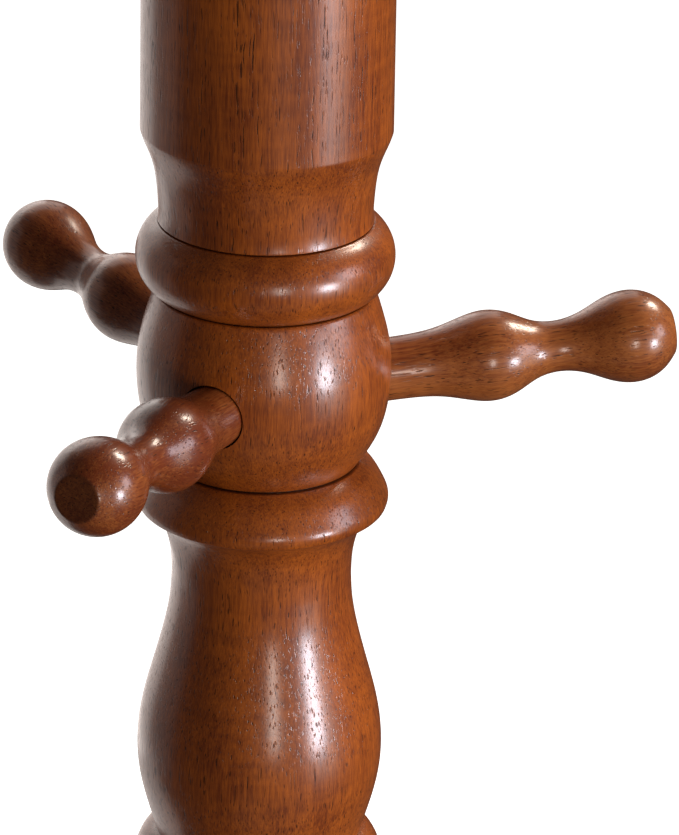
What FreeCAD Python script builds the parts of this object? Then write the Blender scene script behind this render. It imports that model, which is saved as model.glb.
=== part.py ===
import FreeCAD, Part
import math
import os

# Coat tree, a turned hall stand with nine pegs on four scroll legs.
# Millimetres, +Z up, origin on the floor under the axis of the post.

# Heights of the joints between the turned sections of the post.
BLOCK_FOOT = 150.0
BASE_SEAM = 365.0
LOWER_SEAM = 785.0
HUB_SEAM = 1223.5
CROWN_SEAM = 1440.0
FINIAL_SEAM = 1718.5
TOTAL_HEIGHT = 1800.0

# Radii that every turned section shares.
COLUMN_R = 30.1
BEAD_R = 31.2
NECK_R = 26.0
BEAD_HEIGHT = 17.5
SEAM_BEVEL = 0.3
FINIAL_TIP_R = 7.11

# A hub is a ball with three pegs. Its level is where the peg axes cross the post axis.
HUB_BELOW_SEAM = 43.5
HUB_LEVEL = HUB_SEAM - HUB_BELOW_SEAM
TOP_TIER_LEVEL = FINIAL_SEAM - HUB_BELOW_SEAM
MIDDLE_TIER_LEVEL = TOP_TIER_LEVEL - 61.8

# Each tier: level, then (azimuth, upward tilt) of every peg in degrees.
# The sockets of the lower tier were bored by eye and are a degree or two off even spacing.
LOWER_TIER = (HUB_LEVEL, ((1.5, 5.4), (120.3, 5.3), (238.2, 5.9)))
MIDDLE_TIER = (MIDDLE_TIER_LEVEL, ((60.0, 5.5), (180.0, 5.5), (300.0, 5.5)))
TOP_TIER = (TOP_TIER_LEVEL, ((0.0, 5.5), (120.0, 5.5), (240.0, 5.5)))

# Peg, measured along its own axis from the axis of the post.
PEG_TENON_START = 8.0
PEG_SHOULDER = 24.0
PEG_TENON_R = 5.0
PEG_ROOT_R = 7.7
PEG_TIP = 101.5
PEG_TIP_R = 5.3
TENON_FIT = 0.02
COUNTERBORE_GAP = 0.45

# Steel studs and threaded inserts that pull the sections together.
STUD_R = 4.0
STUD_DOWN = 30.0
STUD_UP = 32.0
STUD_POINT = 3.0
INSERT_R = 6.0
INSERT_LENGTH = 18.0
INSERT_FLANGE_R = 7.5
INSERT_FLANGE_HEIGHT = 1.5
STUD_WELL_DEPTH = 34.0
STUD_WELL_R = 4.4
STEEL_FIT = 0.02
DOWEL_R = 6.0
DOWEL_DOWN = 22.0
DOWEL_UP = 16.0

# Legs: side outline in (distance from the post axis, height).
LEG_COUNT = 4
LEG_THICKNESS = 24.0
LEG_EDGE_ROUNDING = 4.0
LEG_INNER_END = 30.0
SOLE_HEIGHT = 6.0
SOLE_HEEL = 222.0
SOLE_TOE = 266.0
LEG_TOP_LINE = ((30.0, 268.0), (72.0, 264.0), (108.0, 238.0), (140.0, 184.0), (172.0, 120.0),
                (208.0, 72.0), (248.0, 50.0), (272.0, 34.0), (275.0, 18.0), (266.0, 6.0))
LEG_UNDER_LINE = ((222.0, 6.0), (200.0, 20.0), (168.0, 62.0), (140.0, 110.0), (112.0, 150.0),
                  (84.0, 160.0), (64.0, 150.0))

# Sliding dovetails that hold the legs to the base block.
BLOCK_R = 36.0
DOVETAIL_DEPTH_R = 24.0
DOVETAIL_ROOT_R = 38.0
DOVETAIL_WIDE = 9.0
DOVETAIL_NARROW = 6.0
DOVETAIL_TOP = 262.0
DOVETAIL_FIT = 0.03

# Steel plate under the block, its screws, and the glides.
PLATE_THICKNESS = 3.0
PLATE_DISC_R = 29.0
PLATE_ARM_REACH = 60.0
PLATE_ARM_WIDTH = 16.0
SCREW_R = 2.0
SCREW_HEAD_R = 3.9
SCREW_LENGTH = 20.0
SCREW_POINT = 4.0
SCREW_CIRCLES = (17.0, 50.0)
SCREW_HOLE_R = 2.02
GLIDE_R = 11.0
GLIDE_EDGE = 1.0
GLIDE_DISTANCE = 244.0
GLIDE_PIN_R = 1.5
GLIDE_PIN_LENGTH = 14.0

UP = FreeCAD.Vector(0, 0, 1)
FLOOR_CENTRE = FreeCAD.Vector(0, 0, 0)


def line(*points):
    """One straight run of a profile, through (radius, height) points."""
    return ("line", points)


def arc(start, middle, end):
    """A circular arc of a profile through three (radius, height) points."""
    return ("arc", (start, middle, end))


def curve(*points):
    """A smooth curve of a profile through (radius, height) points."""
    return ("curve", points)


def vectors(points):
    return [FreeCAD.Vector(x, 0, z) for x, z in points]


def edges_of(kind, points):
    places = vectors(points)
    if kind == "arc":
        return [Part.Arc(*places).toShape()]
    if kind == "curve":
        spline = Part.BSplineCurve()
        spline.interpolate(places)
        return [spline.toShape()]
    return [Part.makeLine(a, b) for a, b in zip(places, places[1:])]


def turned(profile):
    """Solid turned about the Z axis from a profile listed from its top to its foot."""
    top = profile[0][1][0]
    foot = profile[-1][1][-1]
    edges = []
    if top[0] > 0:
        edges += edges_of("line", ((0.0, top[1]), top))
    for kind, points in profile:
        edges += edges_of(kind, points)
    edges += edges_of("line", (foot, (0.0, foot[1]), (0.0, top[1])))
    face = Part.Face(Part.Wire(Part.__sortEdges__(edges)))
    return face.revolve(FLOOR_CENTRE, UP, 360)


def cylinder(radius, foot, top):
    return Part.makeCylinder(radius, top - foot, FreeCAD.Vector(0, 0, foot), UP)


def spun(shape, degrees):
    """Copy of a shape turned about the post axis."""
    copy = shape.copy()
    copy.rotate(FLOOR_CENTRE, UP, degrees)
    return copy


def top_bead(seam, under_r):
    """Bead that starts every section at its upper joint, down to a small ledge of radius under_r."""
    lip = (NECK_R + 0.1, seam - SEAM_BEVEL)
    swell = (BEAD_R, seam - 0.5 * BEAD_HEIGHT)
    foot = (under_r, seam - BEAD_HEIGHT)
    return [line((NECK_R - SEAM_BEVEL, seam), lip),
            arc(lip, swell, foot),
            line(foot, (under_r, foot[1] - 0.7))]


def neck(seam, column_r):
    """Short tapered neck above a joint, stepping out through a hollow to the column."""
    return [curve((column_r, seam + 22.9), (column_r - 0.45, seam + 21.5), (28.85, seam + 19.5),
                  (27.4, seam + 15.7), (26.2, seam + 9.5), (25.75, seam + 3.5)),
            curve((25.75, seam + 3.5), (25.8, seam + 1.9), (NECK_R, seam + SEAM_BEVEL)),
            line((NECK_R, seam + SEAM_BEVEL), (NECK_R - SEAM_BEVEL, seam))]


def ball(level):
    """Ball of a hub: even above its middle and drawn in more tightly below."""
    return [line((25.5, level + 25.3), (26.3, level + 25.2)),
            curve((26.3, level + 25.2), (28.67, level + 19.0), (30.4, level + 11.5),
                  (30.85, level + 5.0), (30.2, level - 3.0), (28.6, level - 9.0),
                  (26.4, level - 13.4), (23.4, level - 17.7))]


def flange(level):
    """Flared collar under the ball, with a sharp lower edge and a hollow beneath it."""
    return [line((23.4, level - 17.7), (23.4, level - 18.4), (24.4, level - 18.5)),
            curve((24.4, level - 18.5), (27.1, level - 20.8), (29.75, level - 25.0),
                  (30.8, level - 28.3), (30.35, level - 29.9)),
            curve((30.35, level - 29.9), (27.6, level - 31.5), (24.9, level - 34.4),
                  (23.2, level - 38.6), (22.3, level - 44.0), (22.1, level - 49.0))]


def vase(level):
    """Slender vase below the hollow, ending in a groove."""
    return [curve((22.1, level - 49.0), (22.45, level - 55.0), (23.8, level - 63.0),
                  (26.9, level - 75.0), (29.4, level - 85.0), (30.48, level - 95.5),
                  (29.9, level - 103.0), (28.05, level - 111.0), (25.9, level - 118.3)),
            line((25.9, level - 118.3), (25.5, level - 119.2))]


def foot_bead(level, column_r):
    """Bead under the vase, with the ledge that leads on to the plain column."""
    foot = level - 137.0
    return [arc((25.5, level - 119.2), (BEAD_R, level - 128.0), (26.5, foot)),
            line((26.5, foot), (26.5, foot - 1.2), (column_r, foot - 2.2))]


def peg_hub(level):
    """Profile of the ball, its flared collar and the vase below."""
    return ball(level) + flange(level) + vase(level)


def finial_profile():
    top = TOTAL_HEIGHT
    seam = FINIAL_SEAM
    return [arc((0.0, top), (FINIAL_TIP_R, top - FINIAL_TIP_R), (5.6, top - 11.5)),
            line((5.6, top - 11.5), (7.0, top - 12.5)),
            curve((7.0, top - 12.5), (14.5, top - 16.5), (21.5, top - 25.0), (24.3, top - 35.0),
                  (22.0, top - 45.5), (14.5, top - 55.5), (11.0, top - 59.0)),
            line((11.0, top - 59.0), (11.0, top - 60.0)),
            arc((11.0, top - 60.0), (14.8, top - 63.0), (12.0, top - 66.0)),
            curve((12.0, top - 66.0), (12.9, top - 70.5), (16.5, top - 74.5), (21.5, top - 76.5)),
            line((21.5, top - 76.5), (23.0, top - 77.5), (23.0, seam + 1.0), (22.0, seam))]


def crown_profile():
    shoulder = MIDDLE_TIER_LEVEL + HUB_BELOW_SEAM
    joint = TOP_TIER_LEVEL - 18.3
    profile = top_bead(FINIAL_SEAM, 25.5) + ball(TOP_TIER_LEVEL)
    profile += [line((23.4, TOP_TIER_LEVEL - 17.7), (23.4, joint + 0.3), (NECK_R - SEAM_BEVEL, shoulder))]
    profile += top_bead(shoulder, 25.5) + peg_hub(MIDDLE_TIER_LEVEL)
    profile += foot_bead(MIDDLE_TIER_LEVEL, COLUMN_R)
    profile += [line((COLUMN_R, MIDDLE_TIER_LEVEL - 139.2), (COLUMN_R, CROWN_SEAM + 22.9))]
    return profile + neck(CROWN_SEAM, COLUMN_R)


def upper_column_profile():
    ledge = CROWN_SEAM - BEAD_HEIGHT - 0.7
    top_r = COLUMN_R - 0.7
    return (top_bead(CROWN_SEAM, 25.5)
            + [line((25.5, ledge), (26.5, ledge - 0.3)),
               curve((26.5, ledge - 0.3), (27.2, ledge - 4.5), (top_r, ledge - 8.0)),
               line((top_r, ledge - 8.0), (COLUMN_R, HUB_SEAM + 22.9))]
            + neck(HUB_SEAM, COLUMN_R))


def hub_section_profile():
    column_top = HUB_LEVEL - 139.2
    return (top_bead(HUB_SEAM, 25.5) + peg_hub(HUB_LEVEL) + foot_bead(HUB_LEVEL, COLUMN_R + 0.2)
            + [line((COLUMN_R + 0.2, column_top), (COLUMN_R + 0.9, LOWER_SEAM + 22.9))]
            + neck(LOWER_SEAM, COLUMN_R + 0.9))


def lower_column_profile():
    ledge = LOWER_SEAM - BEAD_HEIGHT - 0.7
    drum = ledge - 8.0
    groove = drum - 96.0
    return (top_bead(LOWER_SEAM, 25.5)
            + [line((25.5, ledge), (26.5, ledge - 0.3)),
               curve((26.5, ledge - 0.3), (27.4, ledge - 4.5), (COLUMN_R + 0.9, drum)),
               line((COLUMN_R + 0.9, drum), (COLUMN_R + 0.9, groove), (27.0, groove - 1.5)),
               arc((27.0, groove - 1.5), (32.0, groove - 10.5), (27.0, groove - 19.5)),
               line((27.0, groove - 19.5), (26.2, groove - 21.0)),
               curve((26.2, groove - 21.0), (26.0, groove - 40.0), (28.6, groove - 90.0),
                     (33.2, groove - 170.0), (34.6, groove - 215.0), (33.4, BASE_SEAM + 45.0),
                     (31.5, BASE_SEAM + 22.9))]
            + neck(BASE_SEAM, 31.5))


def base_block_profile():
    ledge = BASE_SEAM - BEAD_HEIGHT - 0.7
    return (top_bead(BASE_SEAM, 26.5)
            + [line((26.5, ledge), (28.5, ledge - 0.5)),
               arc((28.5, ledge - 0.5), (37.5, ledge - 13.5), (30.0, ledge - 26.5)),
               line((30.0, ledge - 26.5), (30.0, ledge - 28.0)),
               curve((30.0, ledge - 28.0), (30.6, ledge - 35.0), (BLOCK_R, ledge - 44.0)),
               line((BLOCK_R, ledge - 44.0), (BLOCK_R, BLOCK_FOOT + 1.5), (BLOCK_R - 1.5, BLOCK_FOOT))])


def peg_place(level, azimuth, tilt):
    """Placement that lays the Z axis along a peg, starting at the post axis."""
    lean = FreeCAD.Rotation(FreeCAD.Vector(0, 1, 0), 90.0 - tilt)
    swing = FreeCAD.Rotation(UP, azimuth)
    return FreeCAD.Placement(FreeCAD.Vector(0, 0, level), swing.multiply(lean))


def placed(shape, placement):
    copy = shape.copy()
    copy.Placement = placement.multiply(copy.Placement)
    return copy


def peg_solid():
    """Peg with two swellings, a flat tip and a thinner tenon, standing on the Z axis."""
    return turned([line((PEG_TIP_R, PEG_TIP), (PEG_TIP_R + 0.4, PEG_TIP - 0.2)),
                   curve((PEG_TIP_R + 0.4, PEG_TIP - 0.2), (8.3, 99.0), (10.45, 95.6), (11.36, 91.0),
                         (10.2, 85.1), (7.6, 79.2), (6.3, 73.4), (7.1, 67.2), (9.95, 61.2),
                         (11.15, 55.0), (10.05, 49.1), (8.5, 43.1), (7.8, 36.5), (PEG_ROOT_R, 31.0)),
                   line((PEG_ROOT_R, 31.0), (PEG_ROOT_R, PEG_SHOULDER), (PEG_TENON_R, PEG_SHOULDER),
                        (PEG_TENON_R, PEG_TENON_START))])


def peg_socket():
    """Hole for a peg: a deep bore for the tenon and a wider, looser counterbore for the root."""
    bore = cylinder(PEG_TENON_R + TENON_FIT, PEG_TENON_START, PEG_SHOULDER)
    return bore.fuse(cylinder(PEG_ROOT_R + COUNTERBORE_GAP, PEG_SHOULDER, 45.0))


def with_sockets(shape, tier):
    level, pegs = tier
    for azimuth, tilt in pegs:
        shape = shape.cut(placed(peg_socket(), peg_place(level, azimuth, tilt)))
    return shape


def insert_well(seam):
    """Hole in the top of a section for the threaded insert and the end of the stud."""
    well = cylinder(INSERT_R + STEEL_FIT, seam - INSERT_LENGTH, seam)
    well = well.fuse(cylinder(INSERT_FLANGE_R + STEEL_FIT, seam - INSERT_FLANGE_HEIGHT, seam))
    return well.fuse(cylinder(STUD_WELL_R, seam - STUD_WELL_DEPTH, seam))


def stud_hole(seam):
    """Hole in the foot of a section for the wood thread of the stud."""
    return cylinder(STUD_R + STEEL_FIT, seam, seam + STUD_UP)


def seam_stud(seam):
    """Double-ended stud, pointed at its wood-screw end."""
    return turned([line((1.2, seam + STUD_UP), (STUD_R, seam + STUD_UP - STUD_POINT),
                        (STUD_R, seam + 1.0), (STUD_R - 0.5, seam + 0.5), (STUD_R - 0.5, seam - 0.5),
                        (STUD_R, seam - 1.0), (STUD_R, seam - STUD_DOWN + 1.0),
                        (STUD_R - 1.0, seam - STUD_DOWN))])


def seam_insert(seam):
    """Threaded sleeve with a thin flange, flush with the top of its section."""
    body = cylinder(INSERT_R, seam - INSERT_LENGTH, seam)
    flange_ring = cylinder(INSERT_FLANGE_R, seam - INSERT_FLANGE_HEIGHT, seam)
    bore = cylinder(STUD_R + STEEL_FIT, seam - INSERT_LENGTH, seam)
    return body.fuse(flange_ring).cut(bore).removeSplitter()


def finial_dowel():
    return cylinder(DOWEL_R, FINIAL_SEAM - DOWEL_DOWN, FINIAL_SEAM + DOWEL_UP)


def dovetail(fit):
    """Dovetail prism of one leg along +X, grown all round by the fit."""
    wide = DOVETAIL_WIDE + fit
    narrow = DOVETAIL_NARROW + fit
    corners = ((DOVETAIL_DEPTH_R - fit, -wide), (DOVETAIL_ROOT_R, -narrow),
               (DOVETAIL_ROOT_R, narrow), (DOVETAIL_DEPTH_R - fit, wide))
    places = [FreeCAD.Vector(x, y, BLOCK_FOOT) for x, y in corners]
    face = Part.Face(Part.makePolygon(places + places[:1]))
    return face.extrude(FreeCAD.Vector(0, 0, DOVETAIL_TOP - BLOCK_FOOT))


def base_block():
    block = turned(base_block_profile())
    for number in range(LEG_COUNT):
        block = block.cut(spun(dovetail(DOVETAIL_FIT), number * 360.0 / LEG_COUNT))
        screw_hole = cylinder(SCREW_HOLE_R, BLOCK_FOOT, BLOCK_FOOT - PLATE_THICKNESS + SCREW_LENGTH)
        screw_hole.translate(FreeCAD.Vector(SCREW_CIRCLES[0], 0, 0))
        block = block.cut(spun(screw_hole, number * 360.0 / LEG_COUNT))
    return block.cut(insert_well(BASE_SEAM))


def long_edges(body):
    """Edges that run along the top and under lines of a leg, on both of its sides."""
    chosen = []
    for edge in body.Edges:
        box = edge.BoundBox
        on_side = box.YLength < 0.01 and abs(abs(box.YMax) - 0.5 * LEG_THICKNESS) < 0.01
        if on_side and box.XLength > 100.0:
            chosen.append(edge)
    return chosen


def leg():
    """Scroll leg pointing along +X, with its dovetail, screw hole and glide hole."""
    flat_start = LEG_UNDER_LINE[-1]
    edges = edges_of("curve", LEG_TOP_LINE)
    edges += edges_of("line", (LEG_TOP_LINE[-1], LEG_UNDER_LINE[0]))
    edges += edges_of("curve", LEG_UNDER_LINE)
    edges += edges_of("line", (flat_start, (LEG_INNER_END, BLOCK_FOOT), LEG_TOP_LINE[0]))
    face = Part.Face(Part.Wire(Part.__sortEdges__(edges)))
    body = face.extrude(FreeCAD.Vector(0, LEG_THICKNESS, 0))
    body.translate(FreeCAD.Vector(0, -0.5 * LEG_THICKNESS, 0))
    body = body.makeFillet(LEG_EDGE_ROUNDING, long_edges(body))
    body = body.cut(cylinder(BLOCK_R + DOVETAIL_FIT, 0.0, BASE_SEAM))
    body = body.fuse(dovetail(0.0)).removeSplitter()
    screw_hole = cylinder(SCREW_HOLE_R, BLOCK_FOOT, BLOCK_FOOT - PLATE_THICKNESS + SCREW_LENGTH)
    screw_hole.translate(FreeCAD.Vector(SCREW_CIRCLES[1], 0, 0))
    pin_hole = cylinder(GLIDE_PIN_R + STEEL_FIT, SOLE_HEIGHT, SOLE_HEIGHT + GLIDE_PIN_LENGTH)
    pin_hole.translate(FreeCAD.Vector(GLIDE_DISTANCE, 0, 0))
    return body.cut(screw_hole).cut(pin_hole)


def plate_screw():
    """Countersunk wood screw standing on the Z axis, its head flush with the plate underside."""
    foot = BLOCK_FOOT - PLATE_THICKNESS
    neck_z = foot + SCREW_HEAD_R - SCREW_R
    return turned([line((0.3, foot + SCREW_LENGTH), (SCREW_R, foot + SCREW_LENGTH - SCREW_POINT),
                        (SCREW_R, neck_z), (SCREW_HEAD_R, foot))])


def plate_screws():
    screws = []
    for number in range(LEG_COUNT):
        for distance in SCREW_CIRCLES:
            screw = plate_screw()
            screw.translate(FreeCAD.Vector(distance, 0, 0))
            screws.append(spun(screw, number * 360.0 / LEG_COUNT))
    return Part.makeCompound(screws)


def spider_plate():
    """Flat steel cross that ties the legs to the underside of the block."""
    foot = BLOCK_FOOT - PLATE_THICKNESS
    plate = cylinder(PLATE_DISC_R, foot, BLOCK_FOOT)
    arm = Part.makeBox(PLATE_ARM_REACH, PLATE_ARM_WIDTH, PLATE_THICKNESS,
                       FreeCAD.Vector(0, -0.5 * PLATE_ARM_WIDTH, foot))
    tip = cylinder(0.5 * PLATE_ARM_WIDTH, foot, BLOCK_FOOT)
    tip.translate(FreeCAD.Vector(PLATE_ARM_REACH, 0, 0))
    arm = arm.fuse(tip)
    for number in range(LEG_COUNT):
        plate = plate.fuse(spun(arm, number * 360.0 / LEG_COUNT))
    sink = turned([line((SCREW_HOLE_R, BLOCK_FOOT), (SCREW_HOLE_R, foot + SCREW_HEAD_R - SCREW_R),
                        (SCREW_HEAD_R + STEEL_FIT, foot))])
    for number in range(LEG_COUNT):
        for distance in SCREW_CIRCLES:
            hole = sink.copy()
            hole.translate(FreeCAD.Vector(distance, 0, 0))
            plate = plate.cut(spun(hole, number * 360.0 / LEG_COUNT))
    return plate.removeSplitter()


def foot_glides():
    """Four nailed glides, one under the sole of each leg."""
    profile = [line((GLIDE_PIN_R, SOLE_HEIGHT + GLIDE_PIN_LENGTH), (GLIDE_PIN_R, SOLE_HEIGHT),
                    (GLIDE_R, SOLE_HEIGHT), (GLIDE_R, GLIDE_EDGE), (GLIDE_R - GLIDE_EDGE, 0.0))]
    glide = turned(profile)
    glide.translate(FreeCAD.Vector(GLIDE_DISTANCE, 0, 0))
    return Part.makeCompound([spun(glide, n * 360.0 / LEG_COUNT) for n in range(LEG_COUNT)])


def lower_column():
    return turned(lower_column_profile()).cut(insert_well(LOWER_SEAM)).cut(stud_hole(BASE_SEAM))


def hub_section():
    body = turned(hub_section_profile()).cut(insert_well(HUB_SEAM)).cut(stud_hole(LOWER_SEAM))
    return with_sockets(body, LOWER_TIER)


def upper_column():
    return turned(upper_column_profile()).cut(insert_well(CROWN_SEAM)).cut(stud_hole(HUB_SEAM))


def crown_section():
    body = turned(crown_profile()).cut(stud_hole(CROWN_SEAM))
    body = body.cut(cylinder(DOWEL_R + TENON_FIT, FINIAL_SEAM - DOWEL_DOWN, FINIAL_SEAM))
    return with_sockets(with_sockets(body, MIDDLE_TIER), TOP_TIER)


def finial():
    hole = cylinder(DOWEL_R + TENON_FIT, FINIAL_SEAM, FINIAL_SEAM + DOWEL_UP)
    return turned(finial_profile()).cut(hole)


def pegs(tier):
    level, directions = tier
    return [placed(peg_solid(), peg_place(level, azimuth, tilt)) for azimuth, tilt in directions]


def all_parts():
    seams = (BASE_SEAM, LOWER_SEAM, HUB_SEAM, CROWN_SEAM)
    parts = {
        "foot_glides": foot_glides(),
        "spider_plate": spider_plate(),
        "plate_screws": plate_screws(),
        "base_block": base_block(),
        "lower_column": lower_column(),
        "hub_section": hub_section(),
        "upper_column": upper_column(),
        "crown_section": crown_section(),
        "finial": finial(),
        "finial_dowel": finial_dowel(),
        "seam_studs": Part.makeCompound([seam_stud(seam) for seam in seams]),
        "seam_inserts": Part.makeCompound([seam_insert(seam) for seam in seams]),
    }
    for number in range(LEG_COUNT):
        parts["leg_%d" % (number + 1)] = spun(leg(), number * 360.0 / LEG_COUNT)
    for name, tier in (("lower", LOWER_TIER), ("middle", MIDDLE_TIER), ("top", TOP_TIER)):
        for number, peg in enumerate(pegs(tier)):
            parts["%s_peg_%d" % (name, number + 1)] = peg
    return parts


os.makedirs("parts", exist_ok=True)
for node, shape in all_parts().items():
    shape.exportStep("parts/%s.step" % node)
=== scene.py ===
import math
from functools import partial

import bpy
import numpy as np
from mathutils import Matrix, Vector


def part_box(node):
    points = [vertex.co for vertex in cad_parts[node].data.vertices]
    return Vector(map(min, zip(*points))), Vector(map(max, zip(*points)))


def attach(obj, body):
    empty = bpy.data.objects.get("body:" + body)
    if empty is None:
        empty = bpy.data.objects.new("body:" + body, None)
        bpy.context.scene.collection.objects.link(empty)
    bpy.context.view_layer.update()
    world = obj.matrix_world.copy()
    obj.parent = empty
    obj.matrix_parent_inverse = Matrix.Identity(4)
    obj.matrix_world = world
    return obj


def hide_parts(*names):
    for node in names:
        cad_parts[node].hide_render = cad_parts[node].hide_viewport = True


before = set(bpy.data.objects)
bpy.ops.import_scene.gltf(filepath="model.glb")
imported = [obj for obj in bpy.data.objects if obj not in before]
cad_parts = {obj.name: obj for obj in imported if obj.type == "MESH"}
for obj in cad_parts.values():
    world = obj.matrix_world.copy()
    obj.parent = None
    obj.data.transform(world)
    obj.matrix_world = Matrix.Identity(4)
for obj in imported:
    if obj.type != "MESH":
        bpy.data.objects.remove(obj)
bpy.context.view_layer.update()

# A turned wooden coat tree standing on the floor, its post on the Z axis. The scene is in metres.
# Outlines are lists of (radius, height) in millimetres, from the top of a piece to its foot, and
# MM turns them to metres when a mesh is made.
MM = 0.001
RNG = np.random.default_rng(7)

# Outlines: sampling step and how far lacquer and sanding soften an arris, in mm, then how much
# length, in mm, one radian of turning counts for when rows are shared out.
OUTLINE_STEP = 0.06
ARRIS_SOFTNESS = 0.09
PEG_SOFTNESS = 0.2
TURNING_WEIGHT = 6.0

# Columns round the post, round a peg and round a boring tool, and rows down each turned piece.
TURNS = 192
PEG_TURNS = 96
ROWS = {"base_block": 240, "lower_column": 400, "hub_section": 490, "upper_column": 260,
        "crown_section": 490, "finial": 260, "peg": 130}
SHARP_EDGE = math.radians(40.0)

# Stain and painted shade darken a groove from the first depth below the general outline to the second, in
# mm.
GROOVE_STAIN_SHADE_START = 0.35
GROOVE_STAIN_SHADE_FULL = 0.85
GROOVE_STAIN_SHADE_STEP = 0.05
GROOVE_STAIN_SHADE_BLUR_STEPS = 16.0

# Post sections, in mm. A seam is where two sections meet: the lower one ends in a bead and the upper
# one stands on it with a neck. The cut is the gap under a bead, where the next shape starts.
COLUMN_R = 30.1
DRUM_R = COLUMN_R + 0.9
BEAD_R = 31.2
BEAD_FOOT_R = 26.2
NECK_R = 26.0
NECK_TOP = 22.9
BEAD_HEIGHT = 17.5
CUT_HEIGHT = 0.7
HUB_BELOW_SEAM = 43.5
TIER_SPACING = 61.8
COLLAR_BELOW_HUB = 49.0
FOOT_BEAD_BELOW_HUB = 137.0

# Pegs, in mm along their own axis, which starts on the post's axis.
PEG_ROOT_R = 7.7
PEG_START = 24.0
PEG_TIP = 101.5
PEG_TIP_R = 5.3
SOCKET_R = 8.15
SOCKET_REACH = 45.0
END_GRAIN_STAIN = 0.5


# ---------------------------------------------------------------- outlines of turned pieces

def smooth(*points):
    """Natural cubic spline through the points, its parameter the chord length."""
    p = np.array(points, float)
    h = np.hypot(*np.diff(p, axis=0).T)
    n = len(p)
    a = np.eye(n)
    rhs = np.zeros((n, 2))
    rows = np.arange(1, n - 1)
    a[rows, rows - 1] = h[:-1]
    a[rows, rows] = 2.0 * (h[:-1] + h[1:])
    a[rows, rows + 1] = h[1:]
    slope = np.diff(p, axis=0) / h[:, None]
    rhs[1:-1] = 6.0 * np.diff(slope, axis=0)
    m = np.linalg.solve(a, rhs)
    t = np.concatenate([[0.0], np.cumsum(h)])
    s = np.linspace(0.0, t[-1], 12 * n)
    k = np.clip(np.searchsorted(t, s, side="right") - 1, 0, n - 2)
    left = (s - t[k])[:, None]
    right = (t[k + 1] - s)[:, None]
    span = h[k][:, None]
    return (m[k] * right ** 3 / (6 * span) + m[k + 1] * left ** 3 / (6 * span)
            + (p[k] / span - m[k] * span / 6) * right + (p[k + 1] / span - m[k + 1] * span / 6) * left)


def bulge(start, middle, end):
    """Circular arc through three points of an outline."""
    a, b, c = (np.array(q, float) for q in (start, middle, end))
    centre = np.linalg.solve(2.0 * np.array([b - a, c - a]), [b @ b - a @ a, c @ c - a @ a])
    angles = np.unwrap([math.atan2(*(q - centre)[::-1]) for q in (a, b, c)])
    sweep = np.linspace(angles[0], angles[2], 40)
    return centre + np.linalg.norm(a - centre) * np.stack([np.cos(sweep), np.sin(sweep)], 1)


def straight(*points):
    """Straight lines from point to point."""
    return np.array(points, float)


def top_bead(seam):
    """Circular arc from an eased lip at the seam out to the bead's radius and in to a narrow cut."""
    lip = (NECK_R + 0.7, seam - 0.45)
    foot = (BEAD_FOOT_R, seam - BEAD_HEIGHT)
    cut_r = BEAD_FOOT_R - 1.0
    return [straight((NECK_R - 1.2, seam), (NECK_R - 1.0, seam - 0.05)),
            smooth((NECK_R - 0.1, seam - 0.05), (NECK_R + 0.4, seam - 0.17), lip),
            bulge(lip, (BEAD_R, seam - 0.5 * BEAD_HEIGHT), foot),
            straight((cut_r, foot[1] - 0.1), (cut_r, foot[1] - 0.3))]


def neck(seam, column_r):
    """Spline that draws the column in, hollow, to the neck, then a small flare at the seam."""
    return [smooth((column_r, seam + NECK_TOP), (column_r - 0.45, seam + 21.5), (28.85, seam + 19.5),
                   (27.4, seam + 15.7), (26.2, seam + 9.5), (25.75, seam + 3.5)),
            smooth((25.75, seam + 3.5), (25.8, seam + 1.9), (NECK_R, seam + 0.3)),
            straight((NECK_R - 1.0, seam + 0.1), (NECK_R - 1.2, seam))]


def ball(level):
    """Spline through the ball that holds the pegs, fullest 5 mm above their level."""
    return [smooth((26.0, level + 25.7), (26.5, level + 25.5), (26.85, level + 24.9)),
            smooth((26.85, level + 24.9), (28.67, level + 19.0), (30.4, level + 11.5), (30.85, level + 5.0),
                   (30.2, level - 3.0), (28.6, level - 9.0), (26.4, level - 13.4), (23.5, level - 17.8))]


def flange(level):
    """A narrow cut, a spline that flares to the collar's edge, and one that hollows in below it."""
    return [straight((22.7, level - 17.95), (22.7, level - 18.2)),
            smooth((24.1, level - 18.35), (27.1, level - 20.8), (29.75, level - 25.0),
                   (30.8, level - 28.3), (30.35, level - 29.9)),
            smooth((30.35, level - 29.9), (27.6, level - 31.5), (24.9, level - 34.4),
                   (23.2, level - 38.6), (22.3, level - 44.0), (22.1, level - COLLAR_BELOW_HUB))]


def vase(level):
    """Spline from the hollow under the collar out to the vase's belly and in to its foot."""
    return [smooth((22.1, level - COLLAR_BELOW_HUB), (22.45, level - 55.0), (23.8, level - 63.0),
                   (26.9, level - 75.0), (29.4, level - 85.0), (30.48, level - 95.5),
                   (29.9, level - 103.0), (28.05, level - 111.0), (25.9, level - 118.3))]


def foot_bead(level, column_r):
    """Circular arc for the bead under the vase, with a cut above it and a step to the column below."""
    foot = level - FOOT_BEAD_BELOW_HUB
    return [bulge((25.5, level - 119.2), (BEAD_R, level - 128.0), (26.5, foot)),
            straight((26.5, foot - 1.2), (column_r, foot - 2.2))]


def peg_hub(level):
    """Ball, collar and vase, hung from the level of the pegs."""
    return ball(level) + flange(level) + vase(level)


def base_block_outline(foot, top):
    """Top bead, a wide half-round ring, a cove and the straight block that the legs fit into."""
    ledge = top - BEAD_HEIGHT - CUT_HEIGHT
    return top_bead(top) + [
        bulge((28.5, ledge + 0.2), (37.5, ledge - 13.5), (30.0, ledge - 26.5)),
        straight((30.0, ledge - 28.0)),
        smooth((30.0, ledge - 28.0), (30.6, ledge - 35.0), (36.0, ledge - 44.0)),
        straight((36.0, foot + 1.5), (34.5, foot))]


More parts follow.
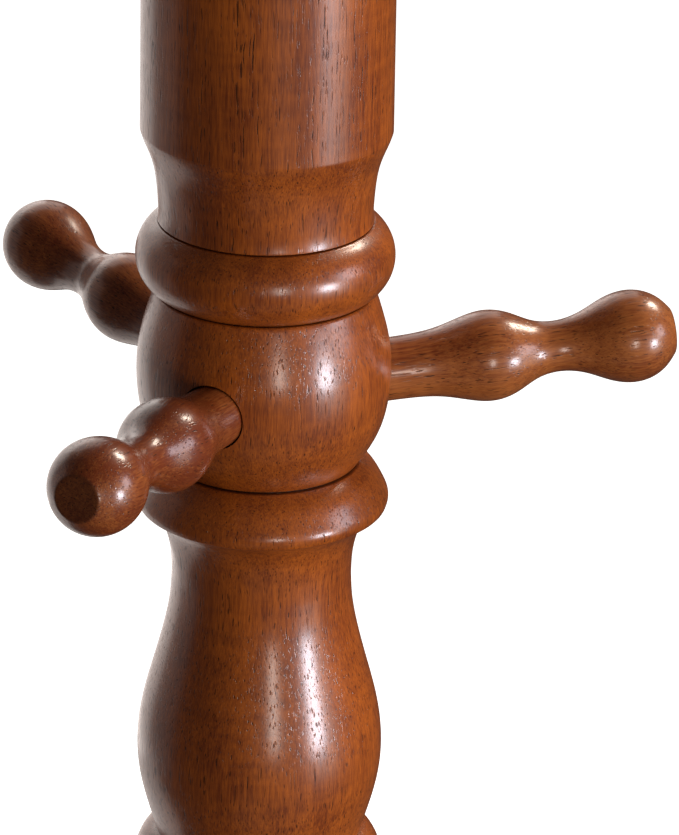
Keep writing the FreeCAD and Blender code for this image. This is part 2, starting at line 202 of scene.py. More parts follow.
def lower_column_outline(foot, top):
    """Top bead, a straight drum, a bead in a groove, a long swelling taper and the neck."""
    ledge = top - BEAD_HEIGHT - CUT_HEIGHT
    drum = ledge - 8.0
    groove = drum - 96.0
    return top_bead(top) + [
        smooth((26.5, ledge + 0.2), (27.4, ledge - 4.5), (DRUM_R, drum)),
        straight((DRUM_R, groove), (27.0, groove - 1.5)),
        bulge((27.0, groove - 1.5), (32.0, groove - 10.5), (27.0, groove - 19.5)),
        smooth((26.2, groove - 21.0), (26.0, groove - 40.0), (28.6, groove - 90.0), (33.2, groove - 170.0),
               (34.6, groove - 215.0), (33.4, foot + 45.0), (31.5, foot + NECK_TOP))] + neck(foot, 31.5)


def hub_section_outline(foot, top):
    """Top bead, peg hub, foot bead, a column that widens a little downwards, and the neck."""
    level = top - HUB_BELOW_SEAM
    column_top_r = COLUMN_R + 0.2
    return (top_bead(top) + peg_hub(level) + foot_bead(level, column_top_r)
            + [straight((column_top_r, level - 140.0), (DRUM_R, foot + NECK_TOP))]
            + neck(foot, DRUM_R))


def upper_column_outline(foot, top):
    """Top bead, a short shoulder, a column that widens a little downwards, and the neck."""
    ledge = top - BEAD_HEIGHT - CUT_HEIGHT
    top_r = COLUMN_R - 0.7
    return top_bead(top) + [
        smooth((26.5, ledge + 0.2), (27.2, ledge - 4.5), (top_r, ledge - 8.0)),
        straight((top_r, ledge - 8.0), (COLUMN_R, foot + NECK_TOP))] + neck(foot, COLUMN_R)


def crown_section_outline(foot, top):
    """Two balls for pegs, each under a bead, the lower one with collar, vase and foot bead."""
    upper = top - HUB_BELOW_SEAM
    lower = upper - TIER_SPACING
    return (top_bead(top) + ball(upper) + [straight((23.4, upper - 18.0))]
            + top_bead(lower + HUB_BELOW_SEAM) + peg_hub(lower) + foot_bead(lower, COLUMN_R)
            + [straight((COLUMN_R, lower - 140.0))] + neck(foot, COLUMN_R))


def finial_outline(foot, top):
    """A small tip button, an urn, a thin bead, a hollow stem and a flat disc to stand on."""
    return [bulge((0.05, top), (7.11, top - 7.11), (5.6, top - 11.5)),
            smooth((7.0, top - 12.5), (14.5, top - 16.5), (21.5, top - 25.0), (24.3, top - 35.0),
                   (22.0, top - 45.5), (14.5, top - 55.5), (11.0, top - 59.0)),
            bulge((11.0, top - 60.0), (14.8, top - 63.0), (12.0, top - 66.0)),
            smooth((12.0, top - 66.0), (12.9, top - 70.5), (16.5, top - 74.5), (21.5, top - 76.5)),
            straight((23.0, top - 77.5), (23.0, foot + 1.0), (22.0, foot))]


def peg_outline():
    """A flat tip, then one spline through two swellings to the straight root."""
    return [straight((0.05, PEG_TIP), (PEG_TIP_R, PEG_TIP)),
            smooth((PEG_TIP_R + 0.4, PEG_TIP - 0.2), (8.3, 99.0), (10.45, 95.6), (11.36, 91.0),
                   (10.2, 85.1), (7.6, 79.2), (6.3, 73.4), (7.1, 67.2), (9.95, 61.2), (11.15, 55.0),
                   (10.05, 49.1), (8.5, 43.1), (7.8, 36.5), (PEG_ROOT_R, 31.0)),
            straight((PEG_ROOT_R, PEG_START))]


# ---------------------------------------------------------------- meshes

def softened(parts, softness, rows):
    """An outline with its arrises rounded, as sanding and lacquer leave them.

    The joined outline is resampled evenly along its length s, then both r(s) and z(s) are blurred
    with a Gaussian of the given width. Rows are then picked so that each covers the same amount of
    length plus weighted turning, which puts them close together on tight curves.
    """
    line = np.concatenate(parts)
    gaps = np.hypot(*np.diff(line, axis=0).T)
    keep = np.concatenate([[True], gaps > 1e-6])
    line = line[keep]
    s = np.concatenate([[0.0], np.cumsum(np.hypot(*np.diff(line, axis=0).T))])
    even = np.arange(0.0, s[-1], OUTLINE_STEP)
    dense = np.stack([np.interp(even, s, line[:, 0]), np.interp(even, s, line[:, 1])], 1)
    reach = int(math.ceil(3.0 * softness / OUTLINE_STEP))
    taps = np.exp(-0.5 * (np.arange(-reach, reach + 1) * OUTLINE_STEP / softness) ** 2)
    taps /= taps.sum()
    before = 2 * dense[:1] - dense[reach:0:-1]
    after = 2 * dense[-1:] - dense[-2:-reach - 2:-1]
    padded = np.concatenate([before, dense, after])
    soft = np.stack([np.convolve(padded[:, i], taps, "valid") for i in (0, 1)], 1)
    soft[:, 0] = np.maximum(soft[:, 0], 0.02)
    run = np.diff(soft, axis=0)
    heading = np.unwrap(np.arctan2(run[:, 1], run[:, 0]))
    turning = np.abs(np.gradient(heading))
    cost = np.concatenate([[0.0], np.cumsum(np.hypot(*run.T) + TURNING_WEIGHT * turning)])
    pick = np.interp(np.linspace(0.0, cost[-1], rows), cost, np.arange(len(cost)))
    index = np.arange(len(soft))
    return np.stack([np.interp(pick, index, soft[:, 0]), np.interp(pick, index, soft[:, 1])], 1)


def lathe_arrays(outline, turns):
    """Closed surface of revolution: x = r cos a, y = r sin a, z = z, capped by a fan at each end.

    The outline is in mm and the places come back in metres.
    """
    angle = np.linspace(0.0, 2.0 * math.pi, turns, endpoint=False)
    r, z = outline[:, 0, None], outline[:, 1, None]
    rings = np.stack([r * np.cos(angle), r * np.sin(angle), z + 0.0 * angle], -1).reshape(-1, 3)
    ends = np.array([[0.0, 0.0, outline[0, 1]], [0.0, 0.0, outline[-1, 1]]])
    rows = len(outline)
    i, j = np.meshgrid(np.arange(rows - 1), np.arange(turns), indexing="ij")
    k = (j + 1) % turns
    quads = np.stack([i * turns + j, (i + 1) * turns + j, (i + 1) * turns + k, i * turns + k], -1)
    quads = quads.reshape(-1, 4)
    a = np.arange(turns)
    b = (a + 1) % turns
    last = (rows - 1) * turns
    top_fan = np.stack([np.full(turns, rows * turns), a, b], 1)
    foot_fan = np.stack([np.full(turns, rows * turns + 1), last + b, last + a], 1)
    return np.concatenate([rings, ends]) * MM, quads, np.concatenate([top_fan, foot_fan])


def mesh_from(name, places, quads, triangles):
    """A mesh filled from whole arrays of places and of corners."""
    mesh = bpy.data.meshes.new(name)
    corners = np.concatenate([quads.ravel(), triangles.ravel()]).astype(np.int32)
    sizes = np.concatenate([np.full(len(quads), 4), np.full(len(triangles), 3)])
    mesh.vertices.add(len(places))
    mesh.vertices.foreach_set("co", places.astype(np.float32).ravel())
    mesh.loops.add(len(corners))
    mesh.loops.foreach_set("vertex_index", corners)
    mesh.polygons.add(len(sizes))
    starts = np.concatenate([[0], np.cumsum(sizes)[:-1]])
    mesh.polygons.foreach_set("loop_start", starts.astype(np.int32))
    mesh.polygons.foreach_set("loop_total", sizes.astype(np.int32))
    mesh.update(calc_edges=True)
    mesh.validate()
    return mesh


def shade(mesh):
    """Smooth shading, broken at arrises."""
    mesh.polygons.foreach_set("use_smooth", np.ones(len(mesh.polygons), bool))
    mesh.set_sharp_from_angle(angle=SHARP_EDGE)


def vertex_places(mesh):
    """Every vertex's place in metres, as one array."""
    co = np.zeros(len(mesh.vertices) * 3, np.float32)
    mesh.vertices.foreach_get("co", co)
    return co.reshape(-1, 3).astype(float)


def set_number(mesh, name, values):
    """Stores one number per vertex."""
    attribute = mesh.attributes.new(name, "FLOAT", "POINT")
    attribute.data.foreach_set("value", values.astype(np.float32))


def set_grain(mesh, plank_mm):
    """Stores, for each vertex, its place in the plank it was cut from: mm, third axis along the grain."""
    attribute = mesh.attributes.new("plank_mm", "FLOAT_VECTOR", "POINT")
    attribute.data.foreach_set("vector", plank_mm.astype(np.float32).ravel())


def set_groove_stain_and_shade(mesh, outline):
    """Stores where stain gathers and painted shade darkens a groove, from 0 to 1 with its depth.

    The radius r(z) is blurred along z with a Gaussian. The depth is the blurred radius less r, and
    the stain and painted shade grow evenly from none at the start depth to all at the full depth.
    """
    even = np.arange(outline[:, 1].min(), outline[:, 1].max(), GROOVE_STAIN_SHADE_STEP)
    order = np.argsort(outline[:, 1])
    radius = np.interp(even, outline[order, 1], outline[order, 0])
    reach = int(math.ceil(3.0 * GROOVE_STAIN_SHADE_BLUR_STEPS))
    taps = np.exp(-0.5 * (np.arange(-reach, reach + 1) / GROOVE_STAIN_SHADE_BLUR_STEPS) ** 2)
    blurred = np.convolve(np.pad(radius, reach, mode="edge"), taps / taps.sum(), "valid")
    stain_and_shade = np.clip((blurred - radius - GROOVE_STAIN_SHADE_START) / (GROOVE_STAIN_SHADE_FULL - GROOVE_STAIN_SHADE_START), 0.0, 1.0)
    heights = vertex_places(mesh)[:, 2] / MM
    set_number(mesh, "stain_and_groove_shade", np.interp(heights, even, stain_and_shade))


def end_grain_stain(mesh):
    """The stain that a peg's flat tip takes up, fading out over 0.2 mm round its rim."""
    below_tip = PEG_TIP - vertex_places(mesh)[:, 2] / MM
    return END_GRAIN_STAIN * np.clip((0.35 - below_tip) / 0.2, 0.0, 1.0)


def plank_offset():
    """Where in its plank a piece was cut, in mm, so that no two pieces share their grain."""
    return RNG.uniform([-40.0, -40.0, -400.0], [40.0, 40.0, 400.0])


def add_piece(name, mesh, material, node):
    """The object for a finished mesh, which rides on the post and stands for its CAD node."""
    piece = bpy.data.objects.new(name, mesh)
    bpy.context.scene.collection.objects.link(piece)
    mesh.materials.append(material)
    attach(piece, "root")
    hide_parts(node)
    return piece


def turned_piece(node, outline, sockets=()):
    """A section of the post: its outline fitted between the CAD node's foot and top, and turned."""
    low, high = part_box(node)
    profile = softened(outline(low.z / MM, high.z / MM), ARRIS_SOFTNESS, ROWS[node])
    mesh = mesh_from(node + "_turned", *lathe_arrays(profile, TURNS))
    if sockets:
        mesh = bored(mesh, sockets)
    shade(mesh)
    set_grain(mesh, vertex_places(mesh) / MM + plank_offset())
    set_number(mesh, "board_tone", np.zeros(len(mesh.vertices)))
    # Grooves get stain and painted shade, by their depth below the outline.
    set_groove_stain_and_shade(mesh, profile)
    add_piece(node + "_wood", mesh, post_wood, node)


def peg_frame(level_mm, azimuth, tilt):
    """Matrix whose Z axis runs out along the peg, starting on the post axis."""
    lean = Matrix.Rotation(math.radians(90.0 - tilt), 4, "Y")
    swing = Matrix.Rotation(math.radians(azimuth), 4, "Z")
    return Matrix.Translation((0.0, 0.0, level_mm * MM)) @ swing @ lean


def bored(mesh, frames):
    """The mesh with a round socket cut for each peg by an exact boolean."""
    body = bpy.data.objects.new("boring_body", mesh)
    bpy.context.scene.collection.objects.link(body)
    cutters = []
    for frame_matrix in frames:
        outline = np.array([[SOCKET_R, SOCKET_REACH], [SOCKET_R, PEG_START]])
        tool_mesh = mesh_from("boring_tool", *lathe_arrays(outline, PEG_TURNS))
        tool_mesh.transform(frame_matrix)
        tool = bpy.data.objects.new("boring_tool", tool_mesh)
        bpy.context.scene.collection.objects.link(tool)
        cut = body.modifiers.new("socket", "BOOLEAN")
        cut.operation = "DIFFERENCE"
        cut.solver = "EXACT"
        cut.object = tool
        cutters.append(tool)
    bpy.context.view_layer.update()
    cut_body = body.evaluated_get(bpy.context.evaluated_depsgraph_get())
    result = bpy.data.meshes.new_from_object(cut_body)
    for thing in [body, *cutters]:
        bpy.data.objects.remove(thing)
    return result


def peg_piece(node, frame_matrix, board_tone):
    """A peg turned on the Z axis, with the grain along it, then swung to its place."""
    profile = softened(peg_outline(), PEG_SOFTNESS, ROWS["peg"])
    mesh = mesh_from(node + "_turned", *lathe_arrays(profile, PEG_TURNS))
    shade(mesh)
    turn = RNG.uniform(0.0, 2.0 * math.pi)
    spin = np.array(Matrix.Rotation(turn, 3, "Z"))
    set_grain(mesh, vertex_places(mesh) / MM @ spin.T + plank_offset())
    set_number(mesh, "board_tone", np.full(len(mesh.vertices), board_tone))
    set_number(mesh, "stain_and_groove_shade", end_grain_stain(mesh))
    mesh.transform(frame_matrix)
    add_piece(node + "_wood", mesh, peg_wood, node)


# ---------------------------------------------------------------- materials

def linear(code):
    """sRGB hex colour as linear RGBA."""
    values = [int(code[i:i + 2], 16) / 255.0 for i in (0, 2, 4)]
    return (*[v / 12.92 if v <= 0.04045 else ((v + 0.055) / 1.055) ** 2.4 for v in values], 1.0)


def add_node(tree, kind, inputs, out=0, **settings):
    """Adds one node, applies its settings, sets or links its inputs, and gives back one output."""
    made = tree.nodes.new("ShaderNode" + kind)
    for key, value in settings.items():
        setattr(made, key, value)
    for key, value in inputs.items():
        if isinstance(value, bpy.types.NodeSocket):
            tree.links.new(value, made.inputs[key])
        else:
            made.inputs[key].default_value = value
    return made.outputs[out] if made.outputs else made


def new_material(name):
    """An empty node material and the function that adds nodes to it."""
    material = bpy.data.materials.new(name)
    material.use_nodes = True
    material.node_tree.nodes.clear()
    return material, partial(add_node, material.node_tree)


def turned_plank(add):
    """Place in the plank that a turned piece was cut from, in mm, stored on its mesh."""
    return add("Attribute", {}, "Vector", attribute_name="plank_mm")


def leg_plank(add):
    """Place in a leg's plank, in mm.

    The four legs lie along X and Y, so |x| + |y| runs outwards on every leg and |x| - |y| runs to
    its side. Each is cut with the grain sloping down and out at 45 degrees.
    """
    x, y, z = add("SeparateXYZ", {0: add("TexCoord", {}, "Object")}).node.outputs
    ax = add("Math", {0: x}, operation="ABSOLUTE")
    ay = add("Math", {0: y}, operation="ABSOLUTE")
    out = add("Math", {0: ax, 1: ay}, operation="ADD")
    side = add("Math", {0: x, 1: y}, operation="SUBTRACT")
    signed = add("Math", {0: add("Math", {0: ax, 1: ay}, operation="MINIMUM"),
                          1: add("Math", {0: side}, operation="SIGN")}, operation="MULTIPLY")
    diagonal = math.sqrt(0.5) / MM
    rise = add("Math", {0: out, 1: z}, operation="ADD")
    fall = add("Math", {0: out, 1: z}, operation="SUBTRACT")
    across = add("Math", {0: rise, 1: diagonal}, operation="MULTIPLY")
    along = add("Math", {0: fall, 1: diagonal}, operation="MULTIPLY")
    thickness = add("Math", {0: signed, 1: 1.0 / MM}, operation="MULTIPLY")
    return add("CombineXYZ", {"X": thickness, "Y": across, "Z": along})


# Tone of the wood: size across the grain and along it in mm, octaves, and share of the tone. They
# are clouds, broad streaks, flecks across the grain, fibres and short fibres.
WOOD_LAYERS = ((16.0, 45.0, 1.0, 0.22), (4.0, 60.0, 2.0, 0.14), (14.0, 2.6, 1.0, 0.10),
               (0.75, 20.0, 2.0, 0.22), (0.32, 5.0, 2.0, 0.32))
BOARD_TONE_SHARE = 0.1
# Vessels: spacing and radius in mm, a shift that keeps the sets apart, and how dark and deep they are.
VESSELS = ((1.10, 0.14, 0.0, 1.0), (0.80, 0.11, 31.7, 0.85), (0.52, 0.07, 77.1, 0.4))
# How far vessels wander in mm, over what size across and along the grain, and the size over which
# they open and close.
VESSEL_DRIFT = 1.6
VESSEL_DRIFT_SIZE = (5.0, 5.0, 9.0)
VESSEL_OPEN_SIZE = (0.8, 0.8, 2.6)
# Dark stain of the vessels and end grain, also used as the painted shade in grooves, and how much of the
# wood it covers.
STAIN_AND_SHADE_COLOUR = "160905"
STAIN_AND_SHADE_COVER = 0.9
# Depth of a vessel and height of the lacquer's slight orange peel, in mm, and how wide that peel is.
VESSEL_DEPTH = 0.036
PEEL_HEIGHT = 0.010
PEEL_SIZE = 2.5


def lacquered_wood(name, plank, dark, light, coat_rough):
    """Open-pored hardwood, stained red-brown, under a clear gloss lacquer.

    Soft blotches and fine fibres give a gentle change of tone along the grain, and boards differ a
    little in how they take the stain (board_tone). The vessels are thin tubes along the grain: discs
    round scattered points of the cross-grain plane, whose places wander and whose radius swells and
    closes along the grain, so that a cut along the grain shows short dark dashes and a cut across it
    shows dots. They hold dark stain and pit the lacquer, and the pits catch small glints. Stain also
    gathers in end grain, and grooves are darkened by stain and by painted shade
    (stain_and_groove_shade).
    """
    material, add = new_material(name)
    at = plank(add)
    tone = 0.0
    for across, along, octaves, share in WOOD_LAYERS:
        scaled = add("VectorMath", {0: at, 1: (1 / across, 1 / across, 1 / along)}, operation="MULTIPLY")
        layer = add("TexNoise", {"Vector": scaled, "Scale": 1.0, "Detail": octaves, "Roughness": 0.6})
        tone = add("Math", {0: layer, 1: share, 2: tone}, operation="MULTIPLY_ADD")
    board = add("Attribute", {}, "Fac", attribute_name="board_tone")
    toned = add("Math", {0: board, 1: BOARD_TONE_SHARE, 2: tone}, operation="MULTIPLY_ADD")
    blend = add("MapRange", {"Value": toned, "From Min": 0.40, "From Max": 0.60})
    base = add("Mix", {0: blend, 6: linear(dark), 7: linear(light)}, 2, data_type="RGBA")

    drift_place = add("VectorMath", {0: at, 1: VESSEL_DRIFT_SIZE}, operation="DIVIDE")
    drift = add("TexNoise", {"Vector": drift_place, "Scale": 1.0, "Detail": 1.0}, "Color")
    centred = add("VectorMath", {0: drift, 1: (0.5, 0.5, 0.5)}, operation="SUBTRACT")
    bent = add("VectorMath", {0: centred, 1: (VESSEL_DRIFT, VESSEL_DRIFT, 0.0), 2: at},
               operation="MULTIPLY_ADD")
    swell_place = add("VectorMath", {0: at, 1: VESSEL_OPEN_SIZE}, operation="DIVIDE")
    swell = add("TexNoise", {"Vector": swell_place, "Scale": 1.0, "Detail": 1.0})
    opening = add("MapRange", {"Value": swell, "From Min": 0.36, "From Max": 0.56})
    stain = 0.0
    pit = 0.0
    for spacing, radius, shift, force in VESSELS:
        place = add("VectorMath", {0: bent, 1: (1 / spacing, 1 / spacing, 0.0), 2: (shift, shift, 0.0)},
                    operation="MULTIPLY_ADD")
        distance = add("TexVoronoi", {"Vector": place, "Scale": 1.0}, voronoi_dimensions="2D")
        width = add("Math", {0: opening, 1: radius / spacing, 2: 0.001}, operation="MULTIPLY_ADD")
        near = add("Math", {0: distance, 1: width}, operation="DIVIDE")
        disc = add("MapRange", {"Value": near, "From Min": 0.5, "From Max": 1.05, "To Min": force,
                                "To Max": 0.0}, interpolation_type="SMOOTHSTEP")
        dish = add("MapRange", {"Value": near, "From Min": 0.4, "From Max": 1.6, "To Min": force,
                                "To Max": 0.0}, interpolation_type="SMOOTHSTEP")
        stain = add("Math", {0: disc, 1: stain}, operation="MAXIMUM")
        pit = add("Math", {0: dish, 1: pit}, operation="MAXIMUM")
    filled = add("Math", {0: stain, 1: STAIN_AND_SHADE_COVER}, operation="MULTIPLY")
    # Stain in the vessels and end grain, with painted shade added in the grooves, darkens the wood.
    stain_and_shade = add("Attribute", {}, "Fac", attribute_name="stain_and_groove_shade")
    stained_and_shaded = add("Math", {0: stain_and_shade, 1: STAIN_AND_SHADE_COVER, 2: filled}, operation="MULTIPLY_ADD", use_clamp=True)
    colour = add("Mix", {0: stained_and_shaded, 6: base, 7: linear(STAIN_AND_SHADE_COLOUR)}, 2, data_type="RGBA")

    peel_place = add("VectorMath", {0: at, 1: (PEEL_SIZE,) * 3}, operation="DIVIDE")
    peel = add("TexNoise", {"Vector": peel_place, "Scale": 1.0, "Detail": 1.0})
    skin_height = add("Math", {0: peel, 1: PEEL_HEIGHT}, operation="MULTIPLY")
    height = add("Math", {0: pit, 1: -VESSEL_DEPTH, 2: skin_height}, operation="MULTIPLY_ADD")
    under = add("Bump", {"Height": height, "Distance": MM, "Strength": 0.4})
    coat = add("Bump", {"Height": height, "Distance": MM, "Strength": 0.8})
    cover = add("Math", {0: stain, 1: -0.85, 2: 1.0}, operation="MULTIPLY_ADD")
    skin = add("BsdfPrincipled", {"Base Color": colour, "Roughness": 0.45, "Specular IOR Level": 0.22,
                                  "Normal": under, "Coat Weight": cover, "Coat Roughness": coat_rough,
                                  "Coat IOR": 1.5, "Coat Normal": coat})
    add("OutputMaterial", {"Surface": skin})
    return material


def worked_metal(name, colour, rough, mark_mm, brushing):
    """Bare or plated metal with working marks ten times as long as wide and an uneven polish."""
    material, add = new_material(name)
    at = add("TexCoord", {}, "Object")
    mark = mark_mm * MM
    mark_place = add("VectorMath", {0: at, 1: (mark, 10.0 * mark, mark)}, operation="DIVIDE")
    marks = add("TexNoise", {"Vector": mark_place, "Scale": 1.0})
    haze_place = add("VectorMath", {0: at, 1: (12.5 * MM,) * 3}, operation="DIVIDE")
    haze = add("TexNoise", {"Vector": haze_place, "Scale": 1.0})
    roughness = add("Math", {0: haze, 1: 0.25, 2: rough - 0.12}, operation="MULTIPLY_ADD")
    relief = add("Bump", {"Height": marks, "Distance": 0.04 * MM, "Strength": brushing})
    skin = add("BsdfPrincipled", {"Base Color": linear(colour), "Metallic": 1.0, "Roughness": roughness,
                                  "Normal": relief})
    add("OutputMaterial", {"Surface": skin})
    return material


def dull_solid(name, colour, fleck_mm, rough):
    """Dull surface with a fine mottle, four times as long up the piece as across it."""
    material, add = new_material(name)
    at = add("TexCoord", {}, "Object")
    fleck = fleck_mm * MM
    place = add("VectorMath", {0: at, 1: (fleck, fleck, 4.0 * fleck)}, operation="DIVIDE")
    mottle = add("TexNoise", {"Vector": place, "Scale": 1.0, "Detail": 3.0})
    amount = add("Math", {0: mottle, 1: 0.6}, operation="MULTIPLY")
    tint = add("Mix", {0: amount, 6: linear(colour), 7: linear("8c8078")}, 2, data_type="RGBA",
               blend_type="MULTIPLY")
    relief = add("Bump", {"Height": mottle, "Distance": 0.1 * MM, "Strength": 0.4})
    skin = add("BsdfPrincipled", {"Base Color": tint, "Roughness": rough, "Normal": relief})
    add("OutputMaterial", {"Surface": skin})
    return material


# Walnut-stained hardwood. The post has a softer lacquer shine than the small pegs.
post_wood = lacquered_wood("stained hardwood post, gloss lacquer", turned_plank, "72310c", "b25b17", 0.23)
peg_wood = lacquered_wood("stained hardwood peg, gloss lacquer", turned_plank, "702f0f", "ab632d", 0.21)
leg_wood = lacquered_wood("stained hardwood leg, gloss lacquer", leg_plank, "72310c", "b25b17", 0.23)
# Steel and brass keep the oil, plating or lathe marks of their making.
steel = worked_metal("rolled steel plate, oiled", "8a8a8c", 0.42, 0.6, 0.6)
zinc = worked_metal("zinc plated steel", "b4b6b8", 0.34, 0.4, 0.3)
brass = worked_metal("turned brass", "c79a52", 0.30, 0.3, 0.4)
beech = dull_solid("bare beech", "c9a276", 0.5, 0.65)
glide = dull_solid("black moulded polyethylene", "1d1a18", 0.4, 0.6)

# ---------------------------------------------------------------- pieces

# Each tier: the level of its pegs in mm, then each peg's direction and its rise, in degrees.
hub_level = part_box("hub_section")[1].z / MM - HUB_BELOW_SEAM
top_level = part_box("crown_section")[1].z / MM - HUB_BELOW_SEAM
middle_level = top_level - TIER_SPACING
TIERS = {
    "lower": (hub_level, ((1.5, 5.4), (120.3, 5.3), (238.2, 5.9))),
    "middle": (middle_level, ((60.0, 5.5), (180.0, 5.5), (300.0, 5.5))),
    "top": (top_level, ((0.0, 5.5), (120.0, 5.5), (240.0, 5.5))),
}
PEG_FRAMES = {"%s_peg_%d" % (tier, number + 1): peg_frame(level, *turn)
              for tier, (level, turns) in TIERS.items() for number, turn in enumerate(turns)}


def sockets_of(*tiers):
    """The frames of the pegs in these tiers."""
    return [matrix for peg, matrix in PEG_FRAMES.items() if peg.split("_")[0] in tiers]


turned_piece("base_block", base_block_outline)
turned_piece("lower_column", lower_column_outline)
turned_piece("hub_section", hub_section_outline, sockets_of("lower"))
turned_piece("upper_column", upper_column_outline)
turned_piece("crown_section", crown_section_outline, sockets_of("middle", "top"))
turned_piece("finial", finial_outline)
# How light each peg's board is: the first of the lower three is the lightest, the third the darkest.
PEG_TONES = dict(zip(PEG_FRAMES, (0.25, -0.1, -0.75, 0.2, -0.2, 0.1, 0.0, 0.3, -0.25)))
for peg_node, peg_matrix in PEG_FRAMES.items():
    peg_piece(peg_node, peg_matrix, PEG_TONES[peg_node])

CAD_FINISH = {"spider_plate": (steel, "plate_steel"), "plate_screws": (zinc, "zinc_plated_steel"),
              "seam_studs": (zinc, "zinc_plated_steel"), "seam_inserts": (brass, "insert_brass"),
              "finial_dowel": (beech, "bare_beech"), "foot_glides": (glide, "glide_plastic")}
CAD_FINISH.update({"leg_%d" % n: (leg_wood, "leg_lacquered_wood") for n in (1, 2, 3, 4)})
for cad_node, (finish, finish_slot) in CAD_FINISH.items():
    cad_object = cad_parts[cad_node]
    cad_object.data.materials.clear()
    cad_object.data.materials.append(finish)

# ---------------------------------------------------------------- floor, light and camera

# The camera looks down at the lowest tier of pegs from about the height of the top ones.
CAMERA_PLACE = Vector((-0.13864, -1.05309, 1.62415))
CAMERA_AIM = Vector((0.01830, -0.00273, 1.17206))
CAMERA_ROLL = math.radians(1.114)
CAMERA_LENS = 204.96
HUB_POINT = Vector((0.0, 0.0, hub_level * MM))
CAMERA_AZIMUTH = math.atan2(CAMERA_PLACE.x, -CAMERA_PLACE.y)

# The floor curves up into a wall beyond this radius, in m, with this radius of bend, and ends at this
# height. Its own glow rises between two radii, from under the coat tree to full.
FLOOR_R = 24.0
BEND_R = 8.0
WALL_TOP = 30.0
GLOW_NEAR = (0.2, 0.35)
GLOW_FAR = (2.4, 1.0)

# Studio lights round the hub: azimuth from the camera, positive to its right, elevation, width and
# height as seen from the hub, all in degrees, then distance, brightness and colour.
LIGHTS = {
    "near window": (14.0, 2.0, 7.5, 15.0, 2.6, 15.0, "fff4ea"),
    "near glow": (24.0, -6.0, 26.0, 36.0, 2.6, 0.10, "ffc494"),
    "front card": (16.0, -45.0, 55.0, 28.0, 1.3, 0.18, "ffe0c4"),
    "side window": (56.0, -3.0, 13.0, 14.0, 2.1, 36.0, "ebf1ff"),
    "side glow": (62.0, -8.0, 28.0, 32.0, 2.1, 1.7, "ffe2c8"),
    "side wall": (78.0, 14.0, 20.0, 20.0, 2.1, 7.0, "f4eef8"),
    "high window": (130.0, 42.0, 14.0, 14.0, 2.6, 32.0, "ffeedb"),
    "left wall": (-150.0, 0.0, 50.0, 58.0, 2.0, 1.15, "fff4ee"),
    "left screen": (-106.0, 0.0, 36.0, 58.0, 2.0, 0.32, "ffe8e0"),
    "left card": (-140.0, -42.0, 50.0, 28.0, 1.3, 0.8, "fff4ee"),
    "back fill": (-168.0, 30.0, 44.0, 40.0, 3.2, 1.0, "fff8f2"),
}


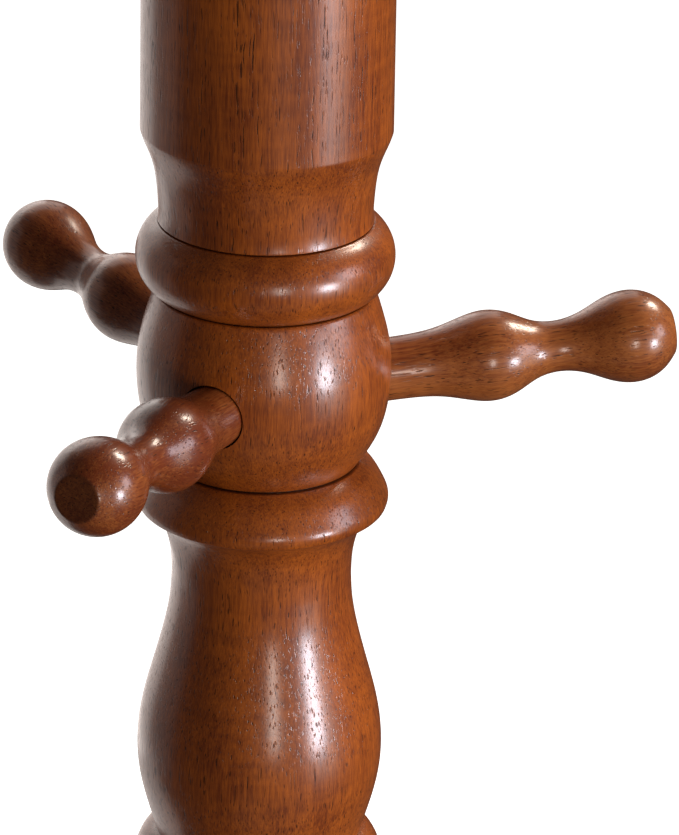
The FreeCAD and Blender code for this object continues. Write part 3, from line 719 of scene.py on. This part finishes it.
def backdrop():
    """Pale floor that curves up into a wall all round, behind every camera.

    Its profile is flat, then a quarter circle, then upright: r = FLOOR_R + BEND_R sin b and
    z = BEND_R (1 - cos b), turned round Z. It glows, less and less towards the coat tree, where the
    lights fall on it, so that it is evenly pale and yet takes soft shadows. It sends no light back
    to the coat tree.
    """
    material, add = new_material("pale matt studio paint")
    place = add("VectorMath", {0: add("TexCoord", {}, "Object"), 1: (2.5, 2.5, 2.5)}, operation="MULTIPLY")
    cloud = add("TexNoise", {"Vector": place, "Scale": 1.0})
    tint = add("Mix", {0: cloud, 6: linear("f6f6f5"), 7: linear("fbfbfa")}, 2, data_type="RGBA")
    reach = add("VectorMath", {0: add("TexCoord", {}, "Object")}, "Value", operation="LENGTH")
    glow = add("MapRange", {"Value": reach, "From Min": GLOW_NEAR[0], "From Max": GLOW_FAR[0],
                            "To Min": GLOW_NEAR[1], "To Max": GLOW_FAR[1]},
               interpolation_type="SMOOTHSTEP")
    skin = add("BsdfPrincipled", {"Base Color": tint, "Roughness": 0.9, "Specular IOR Level": 0.1,
                                  "Emission Color": linear("ffffff"), "Emission Strength": glow})
    add("OutputMaterial", {"Surface": skin})
    material.cycles.emission_sampling = "NONE"
    bend = np.linspace(0.5 * math.pi, 0.0, 25)
    curve = np.stack([FLOOR_R + BEND_R * np.sin(bend), BEND_R - BEND_R * np.cos(bend)], 1)
    outline = np.concatenate([[[FLOOR_R + BEND_R, WALL_TOP]], curve])
    turns = 96
    angle = np.linspace(0.0, 2.0 * math.pi, turns, endpoint=False)
    rings = np.stack([outline[:, :1] * np.cos(angle), outline[:, :1] * np.sin(angle),
                      outline[:, 1:] + 0.0 * angle], -1).reshape(-1, 3)
    i, j = np.meshgrid(np.arange(len(outline) - 1), np.arange(turns), indexing="ij")
    k = (j + 1) % turns
    quads = np.stack([i * turns + j, i * turns + k, (i + 1) * turns + k, (i + 1) * turns + j], -1)
    middle = len(rings)
    last = middle - turns + np.arange(turns)
    fan = np.stack([last, np.roll(last, -1), np.full(turns, middle)], 1)
    places = np.concatenate([rings, [[0.0, 0.0, 0.0]]])
    mesh = mesh_from("backdrop", places, quads.reshape(-1, 4), fan)
    shade(mesh)
    mesh.materials.append(material)
    thing = bpy.data.objects.new("backdrop", mesh)
    bpy.context.scene.collection.objects.link(thing)
    thing.visible_diffuse = False
    thing.visible_glossy = False


def aimed(place, target, roll=0.0):
    """Matrix of a lamp or camera at a place, looking at a target."""
    turn = (target - place).to_track_quat("-Z", "Y").to_matrix().to_4x4()
    return Matrix.Translation(place) @ turn @ Matrix.Rotation(roll, 4, "Z")


def studio_light(name, azimuth, elevation, width, height, distance, brightness, colour):
    """A flat soft light facing the hub; its power is brightness times pi times its area."""
    a = math.radians(azimuth) + CAMERA_AZIMUTH
    e = math.radians(elevation)
    offset = Vector((math.sin(a) * math.cos(e), -math.cos(a) * math.cos(e), math.sin(e))) * distance
    lamp = bpy.data.lights.new(name, "AREA")
    lamp.shape = "RECTANGLE"
    lamp.size = 2.0 * distance * math.tan(math.radians(0.5 * width))
    lamp.size_y = 2.0 * distance * math.tan(math.radians(0.5 * height))
    lamp.energy = brightness * math.pi * lamp.size * lamp.size_y
    lamp.color = linear(colour)[:3]
    thing = bpy.data.objects.new(name, lamp)
    bpy.context.scene.collection.objects.link(thing)
    thing.matrix_world = aimed(HUB_POINT + offset, HUB_POINT)
    thing.visible_camera = False


def surround():
    """Faint even light from all round."""
    world = bpy.data.worlds.new("studio")
    bpy.context.scene.world = world
    world.use_nodes = True
    light = world.node_tree.nodes["Background"]
    light.inputs["Color"].default_value = (1.0, 0.97, 0.94, 1.0)
    light.inputs["Strength"].default_value = 0.035


def camera():
    """The scene's camera."""
    data = bpy.data.cameras.new("camera")
    data.lens = CAMERA_LENS
    data.sensor_width = 36.0
    data.clip_start = 0.05
    data.clip_end = 100.0
    thing = bpy.data.objects.new("camera", data)
    bpy.context.scene.collection.objects.link(thing)
    thing.matrix_world = aimed(CAMERA_PLACE, CAMERA_AIM, CAMERA_ROLL)
    bpy.context.scene.camera = thing


backdrop()
surround()
for light_name, light_values in LIGHTS.items():
    studio_light(light_name, *light_values)
camera()
bpy.context.scene.view_settings.view_transform = "Standard"
